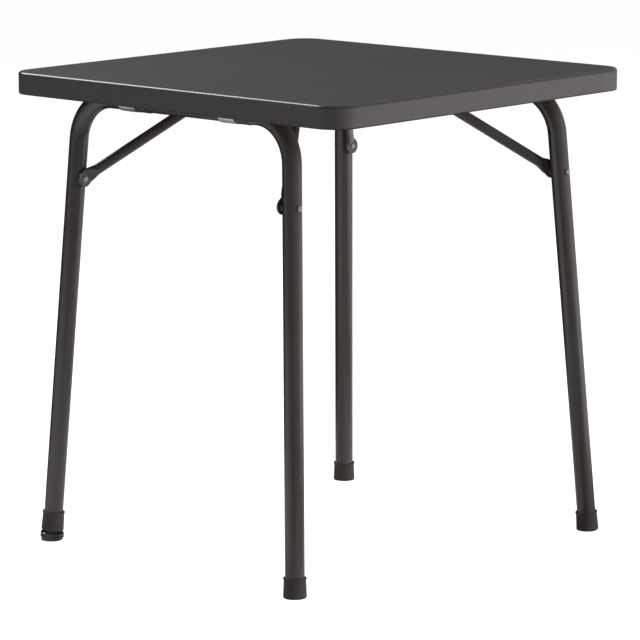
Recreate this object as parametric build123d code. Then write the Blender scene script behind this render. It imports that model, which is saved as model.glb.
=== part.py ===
"""Folding card table: a square moulded top on two U shaped tube leg frames that fold under it."""
from build123d import *
import math
import os

# The table stands on the floor at z = 0 with its origin under the middle of the top.
# X runs along the crossbars, the front frame is at -Y and the rear frame at +Y.
table_height = 720.0
top_width = 660.0
corner_radius = 40.0
rim_height = 33.0
rim_wall = 5.5
skin = 4.0
top_edge_radius = 4.0
rim_foot_bevel = 1.2

board_thickness = 14.0
board_gap = 0.3

# Leg frames: one bent tube each, set sideways from the middle so that the legs pass each other
tube_radius = 14.3
tube_wall = 1.5
bend_radius = 68.4
crossbar_setback = 69.5
leg_setback = 76.5
stagger = 36.0
splay_angle = 3.32
front_rake_angle = 3.2
rear_rake_angle = 4.0

# Bearings of the crossbars
plate_thickness = 3.4
plate_length = 76.0
sleeve_wall = 0.5
sleeve_fit = 0.05
bearing_gap = 0.15
bearing_bend_gap = 15.9
bearing_shift = 7.0
strap_width = 31.0
strap_thickness = 0.8
collar_length = 23.0
collar_radius = 15.2
lip_length = 2.5
lip_radius = 15.4
side_gap = 0.4

# Screws under the top
screw_radius = 2.1
screw_head_radius = 4.2
screw_head_height = 2.4
screw_length = 10.0
pilot_depth = 12.0
screw_fit = 0.08

# Brace bows: one bent tube each, flattened and riveted to the legs at both ends
front_rivet_drop = 125.0
rear_rivet_drop = 122.0
bow_radius = 8.0
bow_wall = 1.2
bow_angle = 38.3
bow_bar_share = 0.365
bow_bend_radius = 36.0
lug_radius = 12.0
lug_thickness = 3.0
lug_swell_share = 0.7
lug_neck = 7.0
lug_press_length = 5.0
lug_swell_length = 17.0
spacer_thickness = 2.0
spacer_radius = 9.0
saddle_gap = 0.05
lug_gap = 0.1
rivet_radius = 3.0
rivet_fit = 0.08
rivet_head_radius = 4.8
rivet_head_height = 1.6

# Catches that hold the bars of the bows
catch_width = 22.0
catch_thickness = 1.2
catch_gap = 0.35
catch_setback = 36.0
catch_wrap_angle = 155.0
catch_tail = 3.5
catch_rib_depth = 3.0
catch_rib_width = 3.2
catch_flange = 22.0
catch_screw_share = 0.6

# Foot caps
cap_height = 31.0
cap_top_radius = 16.2
cap_foot_radius = 17.3
cap_bead_radius = 17.0
cap_bead_height = 3.0
cap_bead_bevel = 0.8
cap_sole = 5.0
cap_edge_radius = 3.5
cap_fit = 0.05
sole_trim = 1.3

# Levelling foot of the front left leg
glide_radius = 16.5
glide_thickness = 3.2
glide_stub_radius = 6.0
glide_stub_height = 2.6
turning_gap = 0.15
disc_radius = 18.0
disc_thickness = 9.0
disc_edge_bevel = 1.2
disc_pocket_count = 6
disc_pocket_width = 11.0
disc_pocket_height = 3.8
disc_pocket_depth = 1.8
neck_radius = 13.0
neck_height = 1.5
neck_gap = 0.1
stem_radius = 4.0
stem_length = 52.0
stem_fit = 0.12
stem_hole_fit = 0.8
insert_length = 24.0

# One share bevels the heads of screws and rivets, one overrun serves all cuts
head_bevel_share = 0.6
overrun = 2.0

deck_z = table_height - skin - board_thickness
sleeve_radius = tube_radius + sleeve_wall
crossbar_z = deck_z - plate_thickness - bearing_gap - sleeve_radius
bar_z = deck_z - catch_thickness - catch_gap - bow_radius
splay_slope = math.tan(math.radians(splay_angle))
inner_half_width = top_width / 2 - rim_wall
crossbar_reach = inner_half_width - crossbar_setback
half_span = inner_half_width - stagger - leg_setback
bow_bar_half_span = half_span * bow_bar_share
catch_half_spacing = bow_bar_half_span - catch_setback
tube_bore = tube_radius - tube_wall
glide_top = glide_thickness
disc_bottom = glide_top + turning_gap
disc_top = disc_bottom + disc_thickness
raised_cap_foot = disc_top + neck_height + neck_gap

front = -1
rear = 1
left = -1
right = 1
rakes = {front: front_rake_angle, rear: rear_rake_angle}
rivet_drops = {front: front_rivet_drop, rear: rear_rivet_drop}
frame_names = {front: "front", rear: "rear"}
side_names = {left: "left", right: "right"}


def plate_outline(width, radius):
    """Square with rounded corners, seen from above."""
    return RectangleRounded(width, width, radius)


def slab(face, low, high):
    """Flat piece from height low to height high."""
    return Pos(0, 0, low) * extrude(face, amount=high - low)


def rod(radius, low, high):
    """Round bar along Z from low to high."""
    return Pos(0, 0, (low + high) / 2) * Cylinder(radius, high - low)


def make_top_shell():
    """Moulded skin of the top with its hanging rim, open underneath."""
    rim_bottom = table_height - rim_height
    body = slab(plate_outline(top_width, corner_radius), rim_bottom, table_height)
    body = fillet(body.faces().sort_by(Axis.Z)[-1].edges(), top_edge_radius)
    body = chamfer(body.faces().sort_by(Axis.Z)[0].edges(), rim_foot_bevel)
    pocket = plate_outline(top_width - 2 * rim_wall, corner_radius - rim_wall)
    return body - slab(pocket, rim_bottom - overrun, table_height - skin)


def screw_spots():
    """World places of all screws under the top: the straps' and the catches'."""
    spots = []
    for end in (front, rear):
        for side in (left, right):
            for edge in (-1, 1):
                spots.append(strap_screw_spot(end, side, edge))
            spots.append(catch_screw_spot(end, side))
    return spots


def strap_centre(end, side):
    """Middle of a strap along the crossbar, in world X."""
    unit_length = strap_width + side_gap + collar_length
    unit_reach = half_span - bend_radius - bearing_bend_gap - unit_length / 2
    unit_middle = end * (stagger - bearing_shift) + side * unit_reach
    return unit_middle + end * (unit_length - strap_width) / 2


def strap_screw_spot(end, side, edge):
    flange_middle = (plate_length / 2 + sleeve_radius + strap_thickness) / 2
    return strap_centre(end, side), end * crossbar_reach + edge * flange_middle


def bow_bar_y():
    """Distance of the bars of the bows from the middle of the table, front and rear."""
    return {end: bow_origin(end)[1] - end * bow_reach(end) * math.cos(math.radians(bow_angle))
            for end in (front, rear)}


def catch_screw_spot(end, side):
    y = bow_bar_y()[end] - end * (bow_radius + catch_gap + catch_rib_width + catch_flange * catch_screw_share)
    return end * stagger + side * catch_half_spacing, y


def make_core_board():
    """Wood board inside the top, with pilot holes for the screws."""
    width = top_width - 2 * (rim_wall + board_gap)
    board = slab(plate_outline(width, corner_radius - rim_wall - board_gap), deck_z, deck_z + board_thickness)
    pilot_top = deck_z + pilot_depth
    for x, y in screw_spots():
        board -= Pos(x, y, 0) * rod(screw_radius + screw_fit, deck_z - overrun, pilot_top)
    return board


def frame_location(end):
    """Middle of a crossbar, with local Y up along the slanting legs."""
    rake = math.radians(rakes[end])
    origin = (end * stagger, end * crossbar_reach, crossbar_z)
    return Location(Plane(origin=origin, x_dir=(1, 0, 0), z_dir=(0, -math.cos(rake), -end * math.sin(rake))))


def leg_length(end):
    """Slant length from the crossbar's axis to the floor, in the plane of the frame."""
    return crossbar_z / math.cos(math.radians(rakes[end]))


def leg_offset(drop):
    """Half distance between the axes of the two legs at a slant drop below the crossbar."""
    return half_span + drop * splay_slope


def foot_location(end, side):
    """Where a leg's axis meets the floor, with local Z up along the leg."""
    drop = leg_length(end)
    up = (-side * splay_slope, 1, 0)
    plane = Plane(origin=(side * leg_offset(drop), -drop, 0), x_dir=(0, 0, 1), z_dir=up)
    return frame_location(end) * Location(plane)


def is_levelled(end, side):
    return end == front and side == left


def cap_foot(end, side):
    """Height of a cap's underside along the leg."""
    return raised_cap_foot if is_levelled(end, side) else -sole_trim


def make_leg_frame(end):
    """One U shaped tube: two legs and the crossbar, with holes for the rivets."""
    points = [leg_end(end, left), (-half_span, 0), (half_span, 0), leg_end(end, right)]
    path = FilletPolyline(*points, radius=bend_radius)
    section = Plane(origin=path @ 0, z_dir=path % 0)
    frame = sweep(section * Circle(tube_radius), path=path)
    frame -= sweep(section * Circle(tube_bore), path=path)
    hole = Rot(0, 90, 0) * Cylinder(rivet_radius + rivet_fit, 2 * (tube_radius + overrun))
    for side in (left, right):
        frame -= Pos(side * leg_offset(rivet_drops[end]), -rivet_drops[end], 0) * hole
    return frame_location(end) * frame


def leg_end(end, side):
    """Lower end of a leg's tube, in the plane of the frame."""
    lift = cap_foot(end, side) + cap_sole
    drop = leg_length(end) - lift * math.cos(math.atan(splay_slope))
    return side * leg_offset(drop), -drop


def make_foot_cap(end, side):
    """Moulded cap pushed over a leg's end, with a bead round its mouth and a flat sole."""
    foot = cap_foot(end, side)
    top = foot + cap_height
    bead_foot = top - cap_bead_height
    outline = Polyline((0, foot), (cap_foot_radius, foot), (cap_top_radius, bead_foot),
                       (cap_bead_radius, bead_foot), (cap_bead_radius, top), (0, top), close=True)
    cap = revolve(Plane.XZ * make_face(outline), Axis.Z)
    cap = fillet(cap.faces().sort_by(Axis.Z)[0].edges(), cap_edge_radius)
    cap = chamfer(cap.faces().sort_by(Axis.Z)[-1].edges(), cap_bead_bevel)
    cap -= rod(tube_radius + cap_fit, foot + cap_sole, top + overrun)
    if is_levelled(end, side):
        cap -= rod(stem_radius + stem_hole_fit, foot - overrun, top)
    return above_floor(foot_location(end, side) * cap)


def above_floor(piece):
    """Cuts a slanting sole off level with the floor."""
    depth = cap_height
    return piece - Pos(0, 0, -depth / 2) * Box(2 * top_width, 2 * top_width, depth)


def make_sleeve(end, side):
    """Bearing sleeve on the crossbar, with a collar on one side of the strap and a lip at each end."""
    half = strap_width / 2 + side_gap
    end_of_collar = half + collar_length
    body = rod(sleeve_radius, -half, half)
    body += rod(collar_radius, half, end_of_collar)
    for low in (-half - lip_length, end_of_collar - lip_length):
        body += rod(lip_radius, low, low + lip_length)
    body -= rod(tube_radius + sleeve_fit, -half - overrun - lip_length, end_of_collar + overrun)
    turned = Rot(0, -end * 90, 0) * body
    return Pos(strap_centre(end, side), end * crossbar_reach, crossbar_z) * turned


def make_bearing_plate(end, side):
    """Flat plate between the board and the crossbar."""
    x = strap_centre(end, side)
    plate = Pos(x, end * crossbar_reach, deck_z - plate_thickness / 2) * Box(strap_width, plate_length,
                                                                             plate_thickness)
    plate = chamfer(plate.edges().filter_by(Axis.Z), screw_head_radius)
    for edge in (-1, 1):
        spot = strap_screw_spot(end, side, edge)
        plate -= Pos(*spot, 0) * rod(screw_radius + screw_fit, deck_z - plate_thickness - overrun,
                                     deck_z + overrun)
    return plate


def make_strap(end, side):
    """Bent strip that carries the crossbar, screwed up through the bearing plate."""
    inner = sleeve_radius + bearing_gap
    outer = inner + strap_thickness
    seat = deck_z - plate_thickness - crossbar_z
    half_length = plate_length / 2
    outside = Circle(outer) + Pos(0, seat / 2) * Rectangle(2 * outer, seat)
    outside += Pos(0, seat - strap_thickness / 2) * Rectangle(2 * half_length, strap_thickness)
    inside = Circle(inner) + Pos(0, (seat + overrun) / 2) * Rectangle(2 * inner, seat + overrun)
    above = Pos(0, seat + half_length) * Rectangle(2 * plate_length, 2 * half_length)
    profile = outside - inside - above
    strip = extrude(Plane.YZ * profile, amount=strap_width / 2, both=True)
    strip = Pos(strap_centre(end, side), end * crossbar_reach, crossbar_z) * strip
    for edge in (-1, 1):
        spot = strap_screw_spot(end, side, edge)
        strip -= Pos(*spot, 0) * rod(screw_radius + screw_fit, crossbar_z, deck_z)
    return strip


def make_screw(seat_z):
    """Pan head screw under the top, its head against seat_z."""
    head = rod(screw_head_radius, seat_z - screw_head_height, seat_z)
    head = chamfer(head.faces().sort_by(Axis.Z)[0].edges(), screw_head_height * head_bevel_share)
    return head + rod(screw_radius, seat_z, deck_z + screw_length)


def make_strap_screws():
    seat = deck_z - plate_thickness - strap_thickness
    return Compound(children=[Pos(*strap_screw_spot(end, side, edge), 0) * make_screw(seat)
                              for end in (front, rear) for side in (left, right) for edge in (-1, 1)])


def make_catch_screws():
    seat = deck_z - catch_thickness
    return Compound(children=[Pos(*catch_screw_spot(end, side), 0) * make_screw(seat)
                              for end in (front, rear) for side in (left, right)])


def bow_origin(end):
    """Middle between the two rivets of a frame, in world coordinates."""
    rake = math.radians(rakes[end])
    y = end * (crossbar_reach + rivet_drops[end] * math.sin(rake))
    return end * stagger, y, crossbar_z - rivet_drops[end] * math.cos(rake)


def bow_reach(end):
    """Slant distance from the rivets to the bar."""
    return (bar_z - bow_origin(end)[2]) / math.sin(math.radians(bow_angle))


def bow_location(end):
    """Plane of a bow: local X along the bar, local Y from the rivets to the bar."""
    lean = math.radians(bow_angle)
    normal = (0, -math.sin(lean), -end * math.cos(lean))
    return Location(Plane(origin=bow_origin(end), x_dir=(1, 0, 0), z_dir=normal))


def lug_offset():
    """Distance of a lug's middle plane from the leg's axis."""
    return tube_radius + spacer_thickness + lug_gap + lug_thickness / 2


def lug_place(end):
    """Half distance between the two lugs of a bow."""
    return leg_offset(rivet_drops[end]) - lug_offset()


def ring_section(plane, half_width, half_thickness):
    """Closed four edge outline: a flattened tube, or a round one where both halves are equal."""
    if half_width == half_thickness:
        x = half_width * math.sqrt(0.5)
        y = x
    else:
        x = half_width - half_thickness
        y = half_thickness
    corners = [(x, y), (-x, y), (-x, -y), (x, -y)]
    middles = [(0, half_thickness), (-half_width, 0), (0, -half_thickness), (half_width, 0)]
    edges = []
    for index, corner in enumerate(corners):
        following = corners[(index + 1) % len(corners)]
        flat = index % 2 == 0 and half_width != half_thickness
        edge = Line(corner, following) if flat else ThreePointArc(corner, middles[index], following)
        edges.append(edge)
    return plane * make_face(edges)


def make_bow(end):
    """Brace bow: bent tube, its ends pressed flat, bent and drilled for the rivets."""
    reach = bow_reach(end)
    bar_corner = Vector(bow_bar_half_span, reach, 0)
    neck = Vector(lug_place(end), lug_neck, 0)
    along = (bar_corner - neck).normalized()
    tube_start = neck + along * lug_swell_length
    far_corner = Vector(-bow_bar_half_span, reach, 0)
    points = [tube_start, bar_corner, far_corner, Vector(-tube_start.X, tube_start.Y, 0)]
    path = FilletPolyline(*points, radius=bow_bend_radius)
    start = Plane(origin=path @ 0, z_dir=path % 0)
    bow = sweep(start * Circle(bow_radius), path=path)
    press_start = neck + along * lug_press_length
    lug_face = SlotOverall(2 * lug_radius + lug_neck, 2 * lug_radius, rotation=90)
    lug = extrude(Pos(0, lug_neck / 2) * lug_face, amount=lug_thickness / 2, both=True)
    lug -= Pos(0, lug_neck + lug_radius, 0) * Box(2 * lug_radius, 2 * lug_radius, 2 * lug_thickness)
    lug = Pos(lug_place(end), 0, 0) * Rot(0, 90, 0) * lug
    swell = lug_thickness * lug_swell_share
    sections = [
        ring_section(Plane(origin=neck, x_dir=(0, 0, 1), z_dir=(0, 1, 0)), lug_radius, lug_thickness / 2),
        ring_section(Plane(origin=press_start, x_dir=(0, 0, 1), z_dir=along), lug_radius, swell),
        ring_section(Plane(origin=tube_start, x_dir=(0, 0, 1), z_dir=along), bow_radius, bow_radius),
    ]
    lug += loft(sections, ruled=True)
    lug -= Pos(lug_place(end), 0, 0) * Rot(0, 90, 0) * Cylinder(rivet_radius + rivet_fit, 2 * lug_radius)
    bow += lug
    bow += mirror(lug, Plane.YZ)
    bow -= sweep(start * Circle(bow_radius - bow_wall), path=path)
    return bow_location(end) * bow


def make_rivet(end, side):
    """Rivet through a leg, its spacer and the bow's lug, with a domed head at each side."""
    inner_face = lug_offset() + lug_thickness / 2 + lug_gap
    outer_face = tube_radius * math.hypot(1, splay_slope) + rivet_head_radius * splay_slope
    shank = rod(rivet_radius, -inner_face, outer_face)
    outer_head = Pos(0, 0, outer_face) * rivet_head()
    inner_head = Pos(0, 0, -inner_face) * Rot(180, 0, 0) * rivet_head()
    rivet = shank + outer_head + inner_head
    x, y, z = bow_origin(end)
    return Pos(x + side * leg_offset(rivet_drops[end]), y, z) * Rot(0, side * 90, 0) * rivet


def rivet_head():
    """Domed head standing on z = 0."""
    head = rod(rivet_head_radius, 0, rivet_head_height)
    return chamfer(head.faces().sort_by(Axis.Z)[-1].edges(), rivet_head_height * head_bevel_share)


def make_spacers(end):
    """Spacers between the legs and the bow's lugs, hollowed to sit on the round tube."""
    return Compound(children=[frame_location(end) * make_spacer(end, side) for side in (left, right)])


def make_spacer(end, side):
    place = side * leg_offset(rivet_drops[end]), -rivet_drops[end], 0
    ring = rod(spacer_radius, 0, tube_radius + spacer_thickness)
    ring -= rod(rivet_radius + rivet_fit, -overrun, 2 * tube_radius)
    ring = Pos(*place) * Rot(0, -side * 90, 0) * ring
    leg_axis = Plane(origin=place, x_dir=(0, 0, 1), z_dir=(-side * splay_slope, 1, 0))
    return ring - leg_axis * Cylinder(tube_radius + saddle_gap, 2 * tube_radius)


def make_catch(end, side):
    """Spring steel clip: a flange on the board, a stop rib, and a hook round the bar."""
    pen = bow_radius + catch_gap + catch_thickness / 2
    rib_start = pen + catch_rib_width / 2
    rib_end = rib_start + catch_rib_width
    flange = Line((rib_end + catch_flange, pen), (rib_end, pen))
    rib_down = Line(flange @ 1, (rib_end - catch_rib_width / 3, pen - catch_rib_depth))
    rib_flat = Line(rib_down @ 1, (rib_start + catch_rib_width / 3, pen - catch_rib_depth))
    rib_up = Line(rib_flat @ 1, (rib_start, pen))
    over_bar = Line(rib_up @ 1, (0, pen))
    hook = CenterArc((0, 0), pen, 90, catch_wrap_angle)
    tail = Line(hook @ 1, (hook @ 1) + (hook % 1) * catch_tail)
    profile = trace([flange, rib_down, rib_flat, rib_up, over_bar, hook, tail], catch_thickness)
    clip = extrude(Plane.YZ * profile, amount=catch_width / 2, both=True)
    if end == rear:
        clip = mirror(clip, Plane.XZ)
    clip = Pos(end * stagger + side * catch_half_spacing, bow_bar_y()[end], bar_z) * clip
    hole = rod(screw_radius + screw_fit, bar_z, deck_z + overrun)
    return clip - Pos(*catch_screw_spot(end, side), 0) * hole


def make_glide():
    """Soft glide under the levelling disc, cut level with the floor."""
    glide = rod(glide_radius, -sole_trim, glide_top)
    glide += rod(glide_stub_radius, glide_top, glide_top + glide_stub_height)
    return above_floor(foot_location(front, left) * glide)


def make_levelling_screw():
    """Levelling disc with finger pockets round its rim, on its threaded stem."""
    disc = rod(disc_radius, disc_bottom, disc_top)
    disc = chamfer(disc.edges().filter_by(GeomType.CIRCLE), disc_edge_bevel)
    middle = (disc_bottom + disc_top) / 2
    pocket = Box(2 * disc_pocket_depth, disc_pocket_width, disc_pocket_height)
    for index in range(disc_pocket_count):
        turn = Rot(0, 0, 360 * index / disc_pocket_count)
        disc -= turn * Pos(disc_radius, 0, middle) * pocket
    disc += rod(neck_radius, disc_top, disc_top + neck_height)
    disc += rod(stem_radius, disc_top, disc_top + stem_length)
    socket = glide_top + glide_stub_height + turning_gap
    disc -= rod(glide_stub_radius + turning_gap, disc_bottom - overrun, socket)
    return foot_location(front, left) * disc


def make_threaded_insert():
    """Plug in the end of the levelled leg that carries the stem."""
    foot = raised_cap_foot + cap_sole
    plug = rod(tube_bore - cap_fit, foot, foot + insert_length)
    plug -= rod(stem_radius + stem_fit, foot - overrun, foot + insert_length + overrun)
    return foot_location(front, left) * plug


def build_parts():
    """All sub-parts by name."""
    parts = {"top_shell": make_top_shell(), "core_board": make_core_board()}
    for end in (front, rear):
        name = frame_names[end]
        parts[name + "_leg_frame"] = make_leg_frame(end)
        parts[name + "_brace_bow"] = make_bow(end)
        parts[name + "_brace_spacers"] = make_spacers(end)
        for side in (left, right):
            place = name + "_" + side_names[side]
            parts[place + "_bearing_plate"] = make_bearing_plate(end, side)
            parts[place + "_strap"] = make_strap(end, side)
            parts[place + "_sleeve"] = make_sleeve(end, side)
            parts[place + "_rivet"] = make_rivet(end, side)
            parts[place + "_catch"] = make_catch(end, side)
            parts[place + "_foot_cap"] = make_foot_cap(end, side)
    parts["strap_screws"] = make_strap_screws()
    parts["catch_screws"] = make_catch_screws()
    parts["threaded_insert"] = make_threaded_insert()
    parts["levelling_screw"] = make_levelling_screw()
    parts["levelling_glide"] = make_glide()
    return parts


os.makedirs("parts", exist_ok=True)
for node, shape in build_parts().items():
    export_step(shape, os.path.join("parts", node + ".step"))
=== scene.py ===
"""A folding card table: a moulded top on two tube leg frames that fold under it."""
import math

import bmesh
import bpy
from mathutils import Matrix, Vector


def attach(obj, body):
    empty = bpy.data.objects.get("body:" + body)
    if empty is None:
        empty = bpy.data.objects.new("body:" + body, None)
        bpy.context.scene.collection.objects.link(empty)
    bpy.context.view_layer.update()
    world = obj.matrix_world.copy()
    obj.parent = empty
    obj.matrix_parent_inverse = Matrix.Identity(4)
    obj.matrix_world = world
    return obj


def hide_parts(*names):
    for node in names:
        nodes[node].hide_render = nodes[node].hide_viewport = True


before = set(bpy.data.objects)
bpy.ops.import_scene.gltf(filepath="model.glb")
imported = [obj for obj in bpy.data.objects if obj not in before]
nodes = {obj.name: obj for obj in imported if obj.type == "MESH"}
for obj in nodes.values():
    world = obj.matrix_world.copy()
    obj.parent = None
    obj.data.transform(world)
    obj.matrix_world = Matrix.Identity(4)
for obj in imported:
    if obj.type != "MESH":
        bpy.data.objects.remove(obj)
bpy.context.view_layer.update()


# Studio floor, cards, lamps and camera.
# A white floor that takes the table's soft shadow, two large lamps, a narrow and a low
# one, and the camera of the picture. Black and glowing cards, which only reflections
# see, lie on the floor round the table and draw the streaks on its tubes.
class Finish:
    """One socket of a material's nodes, with the sums that finishes are written in."""

    def __init__(self, tree, socket=None):
        self.tree = tree
        self.socket = socket

    def node(self, kind, settings=None, output=0, **links):
        """Adds a node, sets it, then fills its sockets with values or other finishes."""
        made = self.tree.nodes.new(kind)
        for name, value in (settings or {}).items():
            if name == "stops":
                for stop, (place, shade) in zip(made.color_ramp.elements, value):
                    stop.position = place
                    stop.color = shade if isinstance(shade, tuple) else (shade, shade, shade, 1.0)
            else:
                setattr(made, name, value)
        for name, value in links.items():
            key = int(name[1:]) if name[0] == "_" else name.replace("_", " ")
            if isinstance(value, Finish):
                self.tree.links.new(value.socket, made.inputs[key])
            else:
                made.inputs[key].default_value = value
        return Finish(self.tree, made.outputs[output] if made.outputs else None)

    def math(self, operation, first, second):
        return self.node("ShaderNodeMath", {"operation": operation}, _0=first, _1=second)

    def __add__(self, other):
        return self.math("ADD", self, other)

    __radd__ = __add__

    def __mul__(self, other):
        return self.math("MULTIPLY", self, other)

    __rmul__ = __mul__

    def __sub__(self, other):
        return self.math("SUBTRACT", self, other)

    def __rsub__(self, other):
        return self.math("SUBTRACT", other, self)

    def __gt__(self, other):
        return self.math("GREATER_THAN", self, other)

    def __lt__(self, other):
        return self.math("LESS_THAN", self, other)

    def blend(self, low, high):
        """The colour low where this value is 0 and high where it is 1."""
        return self.node("ShaderNodeMix", {"data_type": "RGBA"}, output=2, _0=self, _6=low, _7=high)

    def ramp(self, *stops):
        """Runs between two stops, each one a value and the shade or colour that it gets."""
        return self.node("ShaderNodeValToRGB", {"stops": stops}, Fac=self)

    def tones(self, low, high):
        """Runs from one colour to another over the middle of a noise, where most of it lies."""
        return self.ramp((0.3, low), (0.7, high))

    def noise(self, scale, detail, roughness=0.55):
        """Cloudy noise over the place that this finish holds."""
        return self.node("ShaderNodeTexNoise", Vector=self, Scale=scale, Detail=detail, Roughness=roughness)

    def height(self):
        """The upward number of the place or direction that this finish holds."""
        return self.node("ShaderNodeSeparateXYZ", output=2, Vector=self)

    def bump(self, strength, distance):
        """A surface direction that lets this finish stand out as relief."""
        return self.node("ShaderNodeBump", Strength=strength, Distance=distance, Height=self)


def new_finish(name):
    """An empty material and a Finish that adds nodes to it."""
    material = bpy.data.materials.new(name)
    material.use_nodes = True
    material.node_tree.nodes.clear()
    return material, Finish(material.node_tree)


def seal(finish, surface):
    finish.node("ShaderNodeOutputMaterial", Surface=surface)


def srgb(*levels):
    """A colour in a picture's levels, each from 11 to 255, as the linear values that shaders take."""
    lift = 0.055
    power = 2.4
    return tuple(((level / 255 + lift) / (1 + lift)) ** power for level in levels) + (1.0,)


floor_reach = 40.0
floor_glow_seen = 0.85
floor_glow_mirrored = 0.1
floor_corners = [(x * floor_reach, y * floor_reach, 0.0) for x, y in ((-1, -1), (1, -1), (1, 1), (-1, 1))]
floor_mesh = bpy.data.meshes.new("studio_floor")
floor_mesh.from_pydata(floor_corners, [], [(0, 1, 2, 3)])
floor = bpy.data.objects.new("studio_floor", floor_mesh)
bpy.context.scene.collection.objects.link(floor)

white_light = (1.0, 1.0, 1.0, 1.0)
floor_paint, paint = new_finish("studio_floor")
seen = paint.node("ShaderNodeLightPath", output="Is Camera Ray")
seen_in_gloss = paint.node("ShaderNodeLightPath", output="Is Glossy Ray")
matte = paint.node("ShaderNodeBsdfDiffuse", Color=srgb(188, 188, 188))
glow = paint.node("ShaderNodeEmission", Color=white_light,
                  Strength=seen * floor_glow_seen + seen_in_gloss * floor_glow_mirrored)
seal(paint, paint.node("ShaderNodeAddShader", _0=matte, _1=glow))
floor_mesh.materials.append(floor_paint)


def glowing_card(name, strength):
    """A material that gives off plain white light."""
    material, paint = new_finish(name)
    seal(paint, paint.node("ShaderNodeEmission", Color=white_light, Strength=strength))
    return material


pale = glowing_card("pale_card", strength=0.8)
bright = glowing_card("bright_card", strength=1.1)
black, paint = new_finish("black_card")
seal(paint, paint.node("ShaderNodeBsdfDiffuse", Color=srgb(20, 20, 20)))


def reflector(name, surface, headings, reach, wall=0.0):
    """A card on the floor between two headings and two distances, with a wall at its far edge."""
    strips = 6
    lift = 0.004
    start, end = headings
    rows = [(distance, lift) for distance in reach]
    if wall:
        rows.append((reach[1], wall))
    turns = [math.radians(start + (end - start) * strip / strips) for strip in range(strips + 1)]
    corners = [(distance * math.cos(turn), distance * math.sin(turn), height)
               for distance, height in rows for turn in turns]
    width = len(turns)
    faces = [(corner, corner + 1, corner + width + 1, corner + width)
             for row in range(len(rows) - 1) for corner in range(row * width, row * width + strips)]
    mesh = bpy.data.meshes.new(name)
    mesh.from_pydata(corners, [], faces)
    mesh.materials.append(surface)
    card = bpy.data.objects.new(name, mesh)
    card.visible_camera = card.visible_diffuse = card.visible_shadow = False
    bpy.context.scene.collection.objects.link(card)


reflector("card_behind", black, headings=(118.0, 205.0), reach=(0.62, 3.0), wall=1.9)
reflector("card_left", bright, headings=(222.0, 284.0), reach=(0.5, 3.0))
reflector("card_far_left", bright, headings=(240.0, 262.0), reach=(3.0, 4.4))
reflector("card_towards_camera", black, headings=(296.0, 350.0), reach=(1.3, 3.0))
reflector("card_near_right", black, headings=(350.0, 378.0), reach=(1.05, 3.4))
reflector("card_right", pale, headings=(44.0, 84.0), reach=(1.05, 2.6))
reflector("card_near_feet", black, headings=(343.0, 440.0), reach=(0.36, 1.05))
reflector("card_far_right", pale, headings=(30.0, 70.0), reach=(2.8, 6.5))

world = bpy.data.worlds.new("studio_world")
bpy.context.scene.world = world
world.use_nodes = True
world.node_tree.nodes.clear()
air = Finish(world.node_tree)
camera_ray = air.node("ShaderNodeLightPath", output="Is Camera Ray")
dim = air.node("ShaderNodeBackground", Color=white_light, Strength=0.25)
white = air.node("ShaderNodeBackground", Color=white_light, Strength=1.0)
mixed = air.node("ShaderNodeMixShader", _0=camera_ray, _1=dim, _2=white)
air.node("ShaderNodeOutputWorld", Surface=mixed)


def set_up(thing, place, target):
    """Puts a lamp or the camera at place, where it faces target."""
    thing.location = place
    thing.rotation_euler = (Vector(target) - Vector(place)).to_track_quat("-Z", "Y").to_euler()
    bpy.context.scene.collection.objects.link(thing)


def softbox(name, place, target_height, size, watts, colour=(1.0, 1.0, 1.0), mirrored=True):
    """A flat lamp that faces a point above the floor's middle, mirrored by shiny surfaces or not."""
    lamp = bpy.data.lights.new(name, "AREA")
    lamp.shape = "RECTANGLE"
    lamp.size, lamp.size_y = size
    lamp.energy = watts
    lamp.color = colour
    box = bpy.data.objects.new(name, lamp)
    box.visible_glossy = mirrored
    set_up(box, place, (0.0, 0.0, target_height))


softbox("lamp_left", (-2.4, -0.2, 2.8), target_height=0.5, size=(2.0, 1.8), watts=70.0)
softbox("lamp_right", (2.7, 2.0, 1.2), target_height=0.5, size=(1.8, 1.6), watts=215.0,
        colour=(0.92, 0.98, 1.0), mirrored=False)
softbox("lamp_front", (-1.6, -2.6, 0.9), target_height=0.4, size=(0.3, 1.8), watts=2.0)
softbox("lamp_fill", (2.8, -1.6, 0.5), target_height=0.4, size=(1.6, 0.8), watts=20.0, mirrored=False)

camera_place = (3.3612, -3.75737, 1.29373)
camera_target = (0.00619, -0.005, 0.33809)
camera_data = bpy.data.cameras.new("picture_camera")
camera_data.sensor_width = 36.0
camera_data.lens = 189.54
camera_data.clip_end = 100.0
camera = bpy.data.objects.new("picture_camera", camera_data)
set_up(camera, camera_place, camera_target)
bpy.context.scene.camera = camera
bpy.context.scene.view_settings.view_transform = "Standard"


# Table top.
# One moulding of dark polyethylene. The flat and the rim have a fine leather grain and
# faint scuffs, the smooth rounded edge between them is painted darker as shade, and a
# thin band of painted shade runs along the rim's foot.
def dress(node, material):
    """Gives a node of the frame its finish."""
    data = nodes[node].data
    data.materials.clear()
    data.materials.append(material)


def new_piece_finish(name):
    """A material, a Finish that adds nodes to it, and a Finish that holds the place on the piece."""
    material, paint = new_finish(name)
    return material, paint, paint.node("ShaderNodeTexCoord", output="Object")


def seal_piece(paint, **sockets):
    """Ends a piece's material in one shader with the sockets given."""
    seal(paint, paint.node("ShaderNodeBsdfPrincipled", **sockets))


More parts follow.
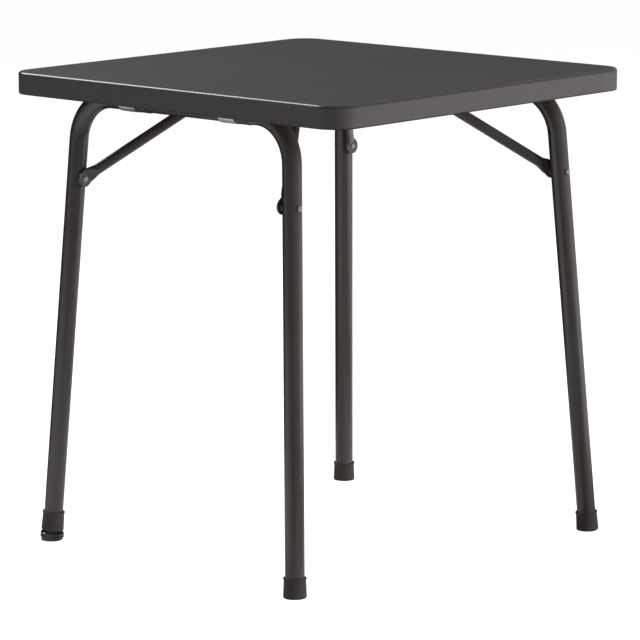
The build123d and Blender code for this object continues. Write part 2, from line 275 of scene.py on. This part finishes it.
# The surface's direction has an upward number of 0 on the rim and 1 on the flat.
rim_slope = 0.04
flat_slope = 0.985
rim_foot = 0.687
rim_foot_shade_band = 0.0018
top_plastic, paint, place = new_piece_finish("top_plastic")
grain = paint.node("ShaderNodeTexVoronoi", {"feature": "DISTANCE_TO_EDGE"}, Vector=place, Scale=620.0)
valleys = grain.ramp((0.0, 0.0), (0.22, 1.0))
clouds = place.noise(scale=3.2, detail=4.0)
scuffs = place.noise(scale=34.0, detail=6.0, roughness=0.7).ramp((0.60, 0.0), (0.74, 1.0))
slope = paint.node("ShaderNodeNewGeometry", output="True Normal").height()
rounded_edge = (slope > rim_slope) * (slope < flat_slope)
tone = clouds.tones(srgb(65, 60, 60), srgb(69, 64, 64))
worn = (scuffs * 0.12).blend(tone, srgb(98, 94, 95))
# Painted shade: the smooth rounded edge gets a darker colour than the flat and the rim.
edge_shaded = rounded_edge.blend(worn, srgb(46, 43, 44))
# Painted shade: a thin dark band of colour along the rim's foot.
foot_shaded = (place.height() < rim_foot + rim_foot_shade_band).blend(edge_shaded, srgb(34, 31, 32))
relief = (valleys * (1.0 - rounded_edge)).bump(strength=0.16, distance=0.0004)
roughness = valleys * 0.05 + clouds * 0.08 + 0.5 - rounded_edge * 0.3
seal_piece(paint, Base_Color=foot_shaded, Roughness=roughness, Normal=relief, Specular_IOR_Level=0.4,
           Coat_Weight=rounded_edge * 0.85, Coat_Roughness=0.22)
dress("top_shell", top_plastic)


# Board inside the top.
# A plain board of pressed fibres that the screws bite into. The moulding closes it
# in, and only its bare underside is open.
board, paint, place = new_piece_finish("fibre_board")
fibres = place.noise(scale=1700.0, detail=5.0, roughness=0.7)
blotches = place.noise(scale=22.0, detail=5.0)
brown = blotches.tones(srgb(100, 78, 57), srgb(120, 94, 69))
flecked = fibres.ramp((0.42, 0.0), (0.66, 1.0)).blend(brown, srgb(138, 112, 84))
relief = fibres.bump(strength=0.3, distance=0.0002)
seal_piece(paint, Base_Color=flecked, Roughness=0.85, Normal=relief)
dress("core_board", board)


# Leg frames and brace bows.
# Steel tube, bent to shape and powder coated in a dark warm grey, with a fine orange
# peel and slight streaks in tone and gloss.
leg_coat, paint, place = new_piece_finish("leg_coat")
peel = place.noise(scale=950.0, detail=2.0, roughness=0.5)
streaks = place.noise(scale=9.0, detail=4.0)
tone = streaks.tones(srgb(53, 48, 46), srgb(59, 53, 51))
relief = peel.bump(strength=0.1, distance=0.0002)
roughness = peel * 0.06 + streaks * 0.1 + 0.22
seal_piece(paint, Base_Color=tone, Roughness=roughness, Normal=relief, Specular_IOR_Level=0.35,
           Coat_Weight=0.4, Coat_Roughness=0.18)
for node in ("front_leg_frame", "rear_leg_frame", "front_brace_bow", "rear_brace_bow"):
    dress(node, leg_coat)


# Straps and bearing plates.
# Pressed strip steel with bright zinc plating, clouded here and there, screwed up
# into the board so that each crossbar turns between its straps and plates.
zinc, paint, place = new_piece_finish("bright_zinc")
clouds = place.noise(scale=60.0, detail=5.0)
fine_marks = place.noise(scale=700.0, detail=2.0)
tone = clouds.tones(srgb(176, 177, 178), srgb(205, 205, 204))
relief = fine_marks.bump(strength=0.1, distance=0.0001)
seal_piece(paint, Base_Color=tone, Roughness=clouds * 0.2 + 0.26, Metallic=0.9, Normal=relief)
legs = [end + "_" + side for end in ("front", "rear") for side in ("left", "right")]
for leg in legs:
    dress(leg + "_bearing_plate", zinc)
    dress(leg + "_strap", zinc)


# Screws under the top.
# Pan head screws with a cross recess, in the same plating as the straps. The recess
# is cut up into the heads of a copy of the CAD screws.
recess_reach = 0.0026
recess_width = 0.0009
recess_depth = 0.0016
recess_taper = 0.6
weld_distance = 1e-6
sharp_angle = math.radians(28.0)


def separate_solids(shape):
    """The points of a mesh, gathered solid by solid."""
    waiting = set(shape.verts)
    solids = []
    for point in shape.verts:
        if point in waiting:
            solid, newest = set(), {point}
            while newest:
                solid |= newest
                newest = {edge.other_vert(vert) for vert in newest for edge in vert.link_edges} - solid
            waiting -= solid
            solids.append(solid)
    return solids


def cross_outline(reach):
    """The outline of a cross about 0, with three points for each of its four arms."""
    half = recess_width / 2
    arm = [Vector(point) for point in ((reach, -half), (reach, half), (half, half))]
    turns = [Matrix.Rotation(math.radians(turn), 2) for turn in (0, 90, 180, 270)]
    return [turn @ point for turn in turns for point in arm]


def recess_cutters(shape):
    """The corners and faces of one tapered cross for the head of each screw."""
    outlines = [cross_outline(recess_reach), cross_outline(recess_reach * recess_taper)]
    count = len(outlines[0])
    corners, faces = [], []
    for screw in separate_solids(shape):
        x, y = [(min(vert.co[axis] for vert in screw) + max(vert.co[axis] for vert in screw)) / 2
                for axis in (0, 1)]
        head = min(vert.co.z for vert in screw)
        lower = list(range(len(corners), len(corners) + count))
        upper = [corner + count for corner in lower]
        for outline, height in zip(outlines, (head - recess_depth, head + recess_depth)):
            corners += [(x + point.x, y + point.y, height) for point in outline]
        faces += [lower[::-1], upper]
        faces += [[lower[step - 1], lower[step], upper[step], upper[step - 1]] for step in range(count)]
    return corners, faces


def recessed_screws(node):
    """A copy of a node's screws with a tapered cross cut up into each head."""
    screws = bpy.data.objects.new(node + "_recessed", nodes[node].data.copy())
    bpy.context.scene.collection.objects.link(screws)
    shape = bmesh.new()
    shape.from_mesh(screws.data)
    bmesh.ops.remove_doubles(shape, verts=shape.verts, dist=weld_distance)
    shape.to_mesh(screws.data)
    corners, faces = recess_cutters(shape)
    shape.free()
    cutter_mesh = bpy.data.meshes.new(node + "_cutter")
    cutter_mesh.from_pydata(corners, [], faces)
    cutter = bpy.data.objects.new(node + "_cutter", cutter_mesh)
    bpy.context.scene.collection.objects.link(cutter)
    cut = screws.modifiers.new("recess", "BOOLEAN")
    cut.operation = "DIFFERENCE"
    cut.solver = "EXACT"
    cut.object = cutter
    graph = bpy.context.evaluated_depsgraph_get()
    finished = bpy.data.meshes.new_from_object(screws.evaluated_get(graph))
    screws.modifiers.clear()
    screws.data = finished
    bpy.data.objects.remove(cutter)
    finished.shade_smooth()
    finished.set_sharp_from_angle(angle=sharp_angle)
    finished.materials.clear()
    finished.materials.append(zinc)
    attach(screws, "top")
    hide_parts(node)


recessed_screws("strap_screws")
recessed_screws("catch_screws")


# Catches of the brace bows.
# Blued spring strip, bent into a hook with a stop rib and screwed up into the board,
# two for the bar of each bow.
spring, paint, place = new_piece_finish("spring_strip")
clouds = place.noise(scale=90.0, detail=4.0)
tone = clouds.tones(srgb(74, 76, 82), srgb(104, 104, 106))
seal_piece(paint, Base_Color=tone, Roughness=clouds * 0.2 + 0.25, Metallic=0.85)
for leg in legs:
    dress(leg + "_catch", spring)


# Rivets of the brace bows.
# Semi tubular steel rivets, plated before they are set, which pin the flattened ends
# of the bows to the legs.
rivet_steel, paint, place = new_piece_finish("rivet_steel")
clouds = place.noise(scale=260.0, detail=4.0)
tone = clouds.tones(srgb(134, 132, 129), srgb(164, 161, 158))
seal_piece(paint, Base_Color=tone, Roughness=clouds * 0.2 + 0.28, Metallic=0.8)
for leg in legs:
    dress(leg + "_rivet", rivet_steel)


# Bearing sleeves, spacers and the insert.
# Black moulded nylon. The sleeves are pushed on to the crossbars before they are
# strapped down, the spacers keep the bows off the legs at the rivets, and the insert
# sits in the levelled leg.
nylon, paint, place = new_piece_finish("black_nylon")
speckle = place.noise(scale=500.0, detail=3.0)
tone = speckle.tones(srgb(38, 36, 36), srgb(46, 43, 43))
relief = speckle.bump(strength=0.15, distance=0.0002)
seal_piece(paint, Base_Color=tone, Roughness=speckle * 0.1 + 0.42, Normal=relief)
for leg in legs:
    dress(leg + "_sleeve", nylon)
for node in ("front_brace_spacers", "rear_brace_spacers", "threaded_insert"):
    dress(node, nylon)


# Foot caps.
# Dark moulded rubber, pushed over the ends of the tubes, a little dusty towards the
# floor, and painted nearly black at the sole as contact shade.
dusty_height = 0.02
contact_shade_height = 0.0018
contact_shade_fade_height = 0.0034
rubber, paint, place = new_piece_finish("foot_rubber")
speckle = place.noise(scale=420.0, detail=4.0)
dust = place.noise(scale=60.0, detail=6.0, roughness=0.65).ramp((0.5, 0.0), (0.75, 1.0))
height = place.height()
low = height.ramp((0.0, 1.0), (dusty_height, 0.0))
tone = speckle.tones(srgb(45, 40, 38), srgb(51, 46, 44))
dusty = (dust * 0.12 + low * 0.08).blend(tone, srgb(96, 90, 85))
# Painted contact shade: the colour runs to nearly black at the sole.
sole_contact_shaded = height.ramp((contact_shade_height, 1.0), (contact_shade_fade_height, 0.0)).blend(dusty, srgb(14, 13, 13))
relief = speckle.bump(strength=0.25, distance=0.0003)
seal_piece(paint, Base_Color=sole_contact_shaded, Roughness=speckle * 0.12 + 0.55, Normal=relief)
for leg in legs:
    dress(leg + "_foot_cap", rubber)


# Levelling foot.
# A glossy black disc, moulded round the stem that screws into the insert of one leg,
# and the sole under it.
glossy_black, paint, place = new_piece_finish("glossy_black")
speckle = place.noise(scale=600.0, detail=3.0)
tone = speckle.tones(srgb(14, 13, 13), srgb(22, 21, 21))
relief = speckle.bump(strength=0.05, distance=0.0002)
seal_piece(paint, Base_Color=tone, Roughness=speckle * 0.08 + 0.1, Normal=relief, Coat_Weight=0.6,
           Coat_Roughness=0.05)
dress("levelling_glide", glossy_black)
dress("levelling_screw", glossy_black)
